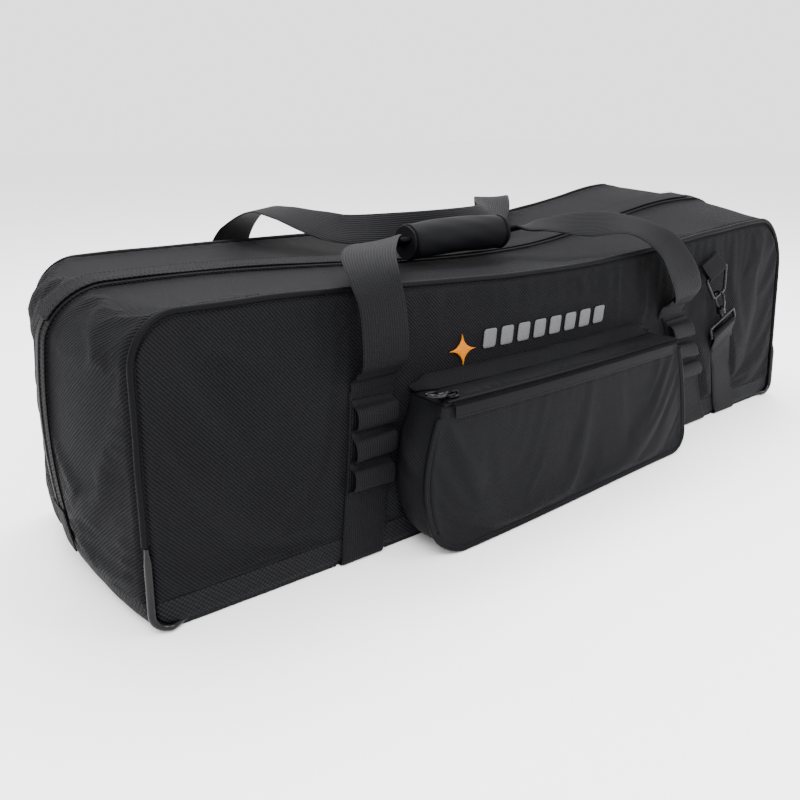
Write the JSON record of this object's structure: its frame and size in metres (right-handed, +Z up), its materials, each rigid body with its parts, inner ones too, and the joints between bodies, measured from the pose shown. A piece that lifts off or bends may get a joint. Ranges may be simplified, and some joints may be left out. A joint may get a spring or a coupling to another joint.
{
  "type": "telescope carry case",
  "caption": "Long soft-sided carry case for a telescope, with a zippered lid, webbing carry handles, a gusseted front pocket and a clip-on shoulder strap.",
  "frame": {"origin": "on the ground under the middle of the base, on the base panel's underside", "axes": "+X along the case, -Y towards the front pocket, +Z up"},
  "size_m": [1.0742, 0.3844, 0.3195],
  "materials": {
    "fabric": "charcoal twill nylon, matte with a faint sheen",
    "base_fabric": "coarse basket-weave nylon, coated",
    "pocket_fabric": "fine twill nylon, slightly darker",
    "webbing": "ribbed nylon webbing",
    "foam": "closed-cell padding with a knit face",
    "board": "stiff corrugated plastic board",
    "trim": "piping cord in satin binding",
    "guard": "glossy moulded edge guard",
    "tape": "zipper tape with moulded coil",
    "hardware": "gloss black enamelled wire and die casting",
    "grip": "padded twill wrap with piped ends",
    "emblem_orange": "orange embroidery",
    "emblem_grey": "grey embroidery"
  },
  "bodies": {
    "bag": {"base_panel": "base_fabric", "base_board": "board", "left_base_cap": "base_fabric", "right_base_cap": "base_fabric", "front_base_strip": "base_fabric", "back_base_strip": "base_fabric", "front_panel": "fabric", "front_foam": "foam", "top_front": "fabric", "left_end_front": "fabric", "right_end_front": "fabric", "front_piping": "trim", "front_left_guard": "guard", "front_right_guard": "guard", "main_zipper_front": "tape", "left_webbing_leg": "webbing", "right_webbing_leg": "webbing", "left_daisy_chain": "webbing", "right_daisy_chain": "webbing", "pocket_gusset": "pocket_fabric", "pocket_face": "pocket_fabric", "pocket_piping": "trim", "pocket_zipper": "tape", "front_ring_tab": "webbing", "front_square_loop": "hardware", "shoulder_strap": "webbing", "emblem_star": "emblem_orange", "emblem_stripe": "emblem_grey"},
    "lid": {"back_panel": "fabric", "back_foam": "foam", "top_rear": "fabric", "left_end_rear": "fabric", "right_end_rear": "fabric", "back_piping": "trim", "main_zipper_rear": "tape", "zipper_rain_flap": "fabric", "left_webbing_leg_back": "webbing", "right_webbing_leg_back": "webbing", "back_ring_tab": "webbing", "back_square_loop": "hardware", "shoulder_strap_back": "webbing", "strap_slide": "hardware"},
    "front_handle": {"front_handle": "webbing", "handle_grip": "grip"},
    "back_handle": {"back_handle": "webbing"},
    "pocket_flap": {"pocket_flap": "pocket_fabric", "pocket_flap_tape": "tape"},
    "pocket_slider": {"pocket_slider": "hardware"},
    "pocket_pull": {"pocket_pull": "hardware"},
    "upper_main_slider": {"upper_main_slider": "hardware"},
    "upper_main_pull": {"upper_main_pull": "hardware"},
    "lower_main_slider": {"lower_main_slider": "hardware"},
    "lower_main_pull": {"lower_main_pull": "hardware"},
    "front_ring": {"front_ring": "hardware"},
    "front_hook": {"front_hook": "hardware"},
    "front_gate": {"front_gate": "hardware"},
    "back_ring": {"back_ring": "hardware"},
    "back_hook": {"back_hook": "hardware"},
    "back_gate": {"back_gate": "hardware"}
  },
  "joints": [
    {"name": "lid_fold", "type": "hinge", "parent": "bag", "child": "lid", "pos_m": [0, 0.1458, 0.031], "axis": [-1, 0, 0], "range_deg": [0, 88]},
    {"name": "front_handle_swing", "type": "hinge", "parent": "bag", "child": "front_handle", "pos_m": [0, -0.164, 0.2], "axis": [1, 0, 0], "range_deg": [0, 100]},
    {"name": "back_handle_swing", "type": "hinge", "parent": "lid", "child": "back_handle", "pos_m": [0, 0.164, 0.205], "axis": [-1, 0, 0], "range_deg": [0, 100]},
    {"name": "pocket_flap_fold", "type": "hinge", "parent": "bag", "child": "pocket_flap", "pos_m": [0, -0.15053, 0.16966], "axis": [-1, 0, 0], "range_deg": [0, 50]},
    {"name": "pocket_slider_run", "type": "slide", "parent": "pocket_flap", "child": "pocket_slider", "axis": [1, 0, 0], "range_m": [0, 0.335]},
    {"name": "pocket_pull_lift", "type": "hinge", "parent": "pocket_slider", "child": "pocket_pull", "pos_m": [-0.215, -0.19665, 0.17647], "axis": [0, 1, 0], "range_deg": [0, 100]},
    {"name": "upper_slider_run", "type": "slide", "parent": "lid", "child": "upper_main_slider", "axis": [-0.1251, 0, 0.9921], "range_m": [0, 0.038]},
    {"name": "upper_pull_lift", "type": "hinge", "parent": "upper_main_slider", "child": "upper_main_pull", "pos_m": [0.53154, 0, 0.16358], "axis": [0, -1, 0], "range_deg": [0, 100]},
    {"name": "lower_slider_run", "type": "slide", "parent": "lid", "child": "lower_main_slider", "axis": [0.0126, 0, -0.9999], "range_m": [0, 0.038]},
    {"name": "lower_pull_lift", "type": "hinge", "parent": "lower_main_slider", "child": "lower_main_pull", "pos_m": [0.5347, 0, 0.11872], "axis": [0, -1, 0], "range_deg": [0, 100]},
    {"name": "front_ring_tilt", "type": "hinge", "parent": "bag", "child": "front_ring", "pos_m": [0.279, -0.15643, 0.22504], "axis": [-0.9096, 0, -0.4154], "range_deg": [0, 2]},
    {"name": "front_hook_swivel", "type": "hinge", "parent": "bag", "child": "front_hook", "pos_m": [0.30206, -0.1564, 0.17455], "axis": [0.4154, 0.0005, -0.9096], "range_deg": [-12, 12]},
    {"name": "front_gate_press", "type": "hinge", "parent": "front_hook", "child": "front_gate", "pos_m": [0.30081, -0.1622, 0.17728], "axis": [-0.9096, 0, -0.4154], "range_deg": [0, 18], "stiffness_Nm_per_rad": 0.003, "springref_deg": -11.46},
    {"name": "back_ring_tilt", "type": "hinge", "parent": "lid", "child": "back_ring", "pos_m": [-0.38216, 0.15698, 0.147], "axis": [0.0724, 0, 0.9974], "range_deg": [0, 2]},
    {"name": "back_hook_swivel", "type": "hinge", "parent": "lid", "child": "back_hook", "pos_m": [-0.32681, 0.15781, 0.14299], "axis": [0.9973, 0.015, -0.0724], "range_deg": [-12, 12]},
    {"name": "back_gate_press", "type": "hinge", "parent": "back_hook", "child": "back_gate", "pos_m": [-0.32989, 0.16356, 0.14321], "axis": [0.0724, 0, 0.9974], "range_deg": [0, 18], "stiffness_Nm_per_rad": 0.003, "springref_deg": -11.46}
  ]
}
